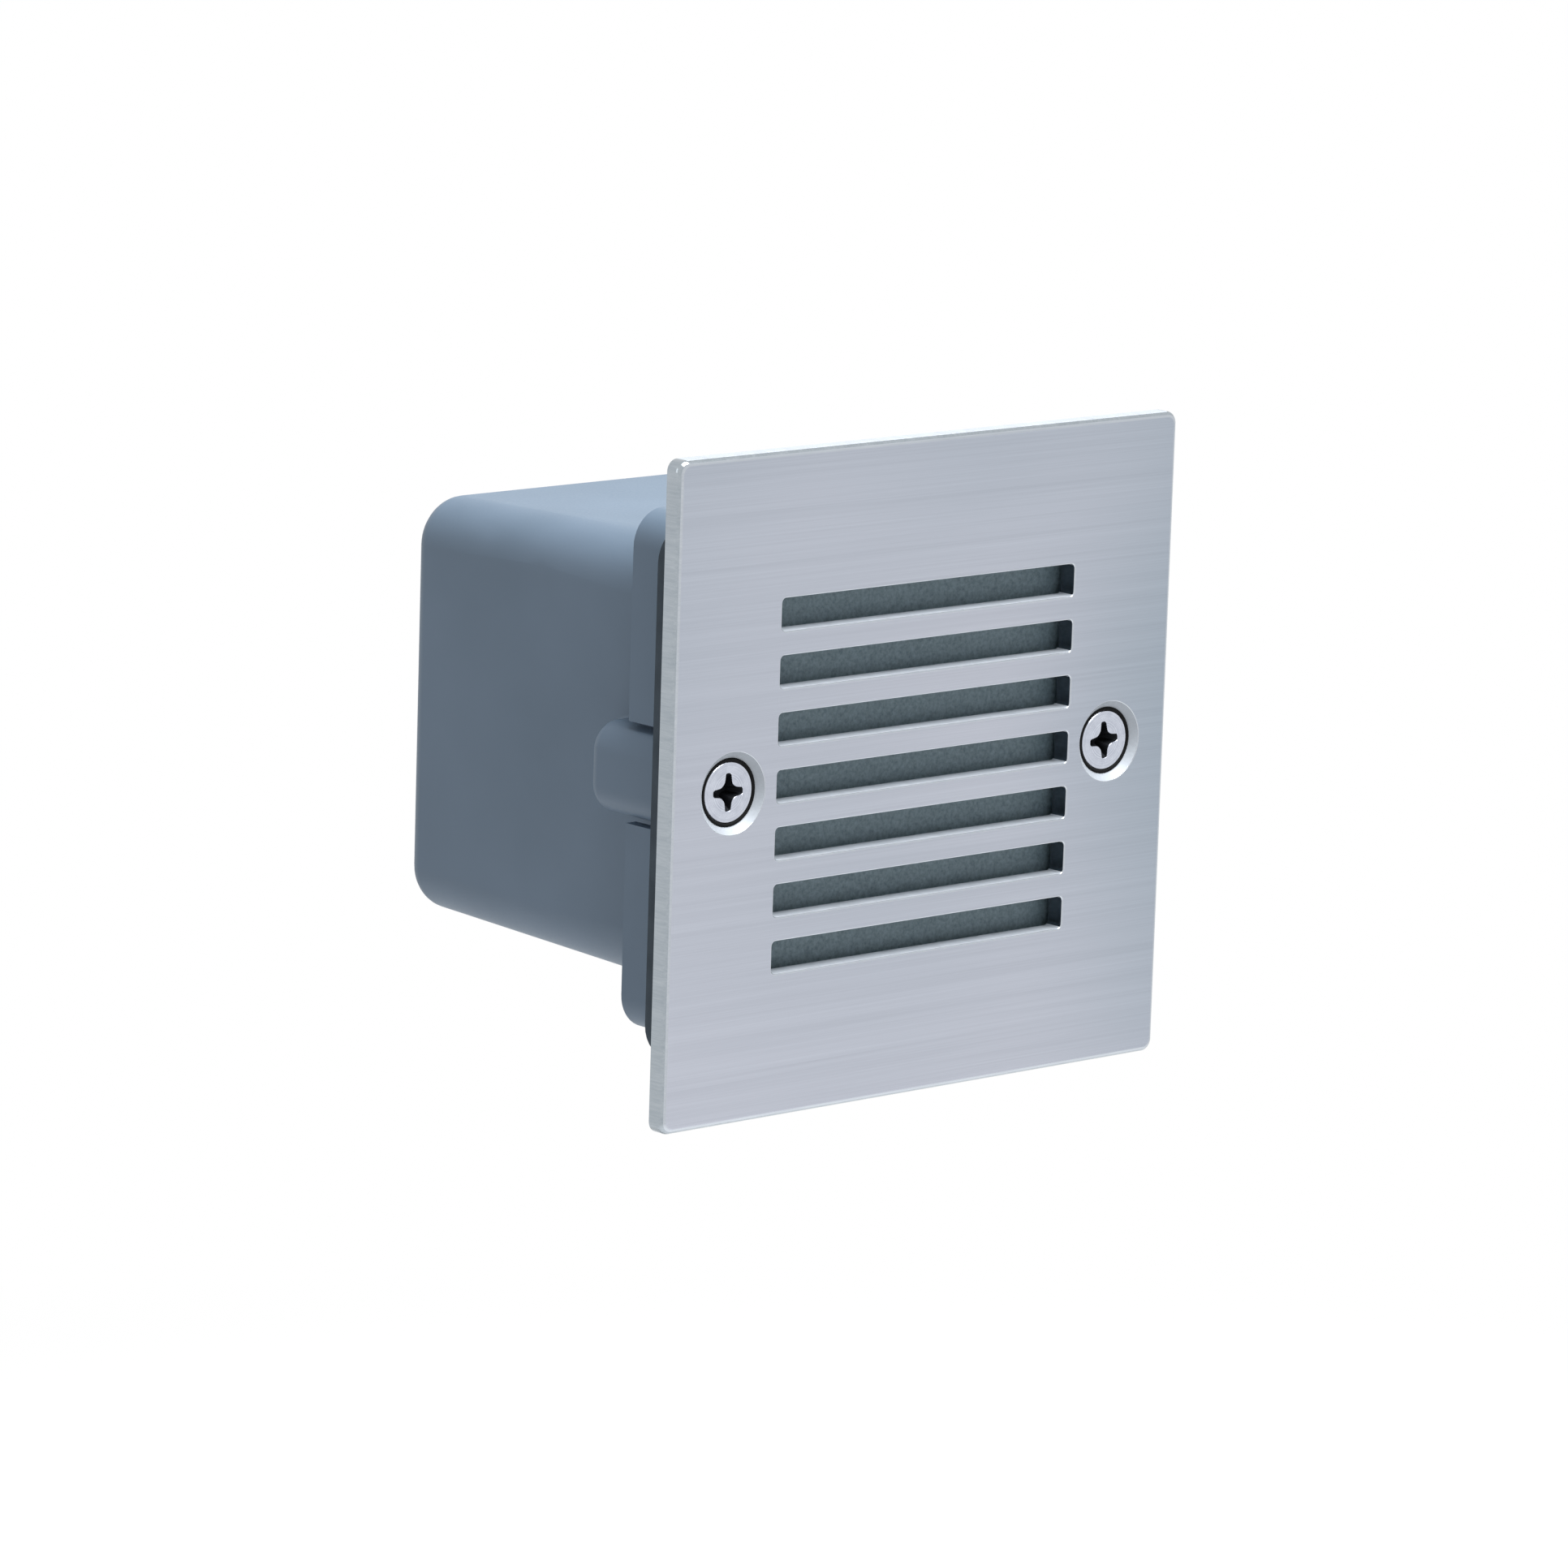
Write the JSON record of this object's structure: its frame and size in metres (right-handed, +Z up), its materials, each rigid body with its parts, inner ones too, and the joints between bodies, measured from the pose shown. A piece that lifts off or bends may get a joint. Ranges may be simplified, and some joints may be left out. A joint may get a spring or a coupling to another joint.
{
  "type": "step light",
  "caption": "Square recessed step light: slotted brushed stainless faceplate on two countersunk screws, frosted lens, moulded recess box and rear cable gland.",
  "frame": {"origin": "centre of the four wall-screw holes, on the flange's wall-side face", "axes": "+Y into the wall, +Z up, -Y the way the light faces, +X to the right seen from in front"},
  "size_m": [0.1, 0.0996, 0.1],
  "materials": {
    "brushed_stainless": "brushed",
    "screw_steel": "satin",
    "black_rubber": "matte",
    "gasket_foam": "matte",
    "frosted_glass": "frosted",
    "silicone": "matte",
    "housing_plastic": "satin",
    "white_plastic": "satin",
    "aluminium_sheet": "rolled",
    "white_board": "solder mask",
    "led_phosphor": "satin",
    "black_plastic": "moulded",
    "green_board": "solder mask",
    "tape_yellow": "tape",
    "capacitor_sleeve": "shrunk sleeve",
    "cream_plastic": "moulded",
    "brass": "turned",
    "zinc_steel": "zinc plated",
    "brown_sleeve": "extruded",
    "blue_sleeve": "extruded",
    "red_sleeve": "extruded",
    "black_sleeve": "extruded",
    "gland_nylon": "moulded"
  },
  "bodies": {
    "root": {"faceplate_gasket": "gasket_foam", "lens": "frosted_glass", "lens_seal": "silicone", "housing": "housing_plastic", "screw_inserts": "brass", "reflector": "white_plastic", "gear_plate": "aluminium_sheet", "led_board": "white_board", "led_packages": "led_phosphor", "led_connector": "white_plastic", "driver_case": "black_plastic", "driver_lid": "black_plastic", "driver_board": "green_board", "driver_transformer": "tape_yellow", "driver_capacitor": "capacitor_sleeve", "terminal_block": "cream_plastic", "terminal_clamps": "brass", "terminal_screws": "zinc_steel", "terminal_fixing_screw": "zinc_steel", "led_board_screws": "zinc_steel", "gear_plate_screws": "zinc_steel", "driver_screws": "zinc_steel", "live_lead": "brown_sleeve", "neutral_lead": "blue_sleeve", "led_lead_positive": "red_sleeve", "led_lead_negative": "black_sleeve", "gland_washer": "black_rubber", "gland_body": "gland_nylon", "gland_locknut": "gland_nylon", "gland_seal": "black_rubber"},
    "faceplate": {"faceplate": "brushed_stainless"},
    "screw_washer_left": {"screw_washer_left": "black_rubber"},
    "faceplate_screw_left": {"faceplate_screw_left": "screw_steel"},
    "screw_washer_right": {"screw_washer_right": "black_rubber"},
    "faceplate_screw_right": {"faceplate_screw_right": "screw_steel"},
    "gland_ring": {"gland_ring": "white_plastic"},
    "gland_nut": {"gland_nut": "gland_nylon"}
  },
  "joints": [
    {"name": "faceplate_liftoff", "type": "slide", "parent": "root", "child": "faceplate", "axis": [0, -1, 0], "range_m": [0, 0.05]},
    {"name": "screw_left_travel", "type": "slide", "parent": "faceplate", "child": "screw_washer_left", "axis": [0, -1, 0], "range_m": [0, 0.0168]},
    {"name": "screw_left_turn", "type": "hinge", "parent": "screw_washer_left", "child": "faceplate_screw_left", "pos_m": [-0.038, 0, 0], "axis": [0, -1, 0], "range_deg": [0, 7600]},
    {"name": "screw_right_travel", "type": "slide", "parent": "faceplate", "child": "screw_washer_right", "axis": [0, -1, 0], "range_m": [0, 0.0168]},
    {"name": "screw_right_turn", "type": "hinge", "parent": "screw_washer_right", "child": "faceplate_screw_right", "pos_m": [0.038, 0, 0], "axis": [0, -1, 0], "range_deg": [0, 7600]},
    {"name": "gland_nut_travel", "type": "slide", "parent": "root", "child": "gland_ring", "axis": [0, 1, 0], "range_m": [0, 0.0075]},
    {"name": "gland_nut_turn", "type": "hinge", "parent": "gland_ring", "child": "gland_nut", "pos_m": [0, 0.09, -0.012], "axis": [0, 1, 0], "range_deg": [0, 1810]}
  ],
  "couplings": [
    {"joint": "screw_left_turn", "follows": "screw_left_travel", "rad_per_m": 7854},
    {"joint": "screw_right_turn", "follows": "screw_right_travel", "rad_per_m": 7854},
    {"joint": "gland_nut_turn", "follows": "gland_nut_travel", "rad_per_m": 4188.8}
  ]
}
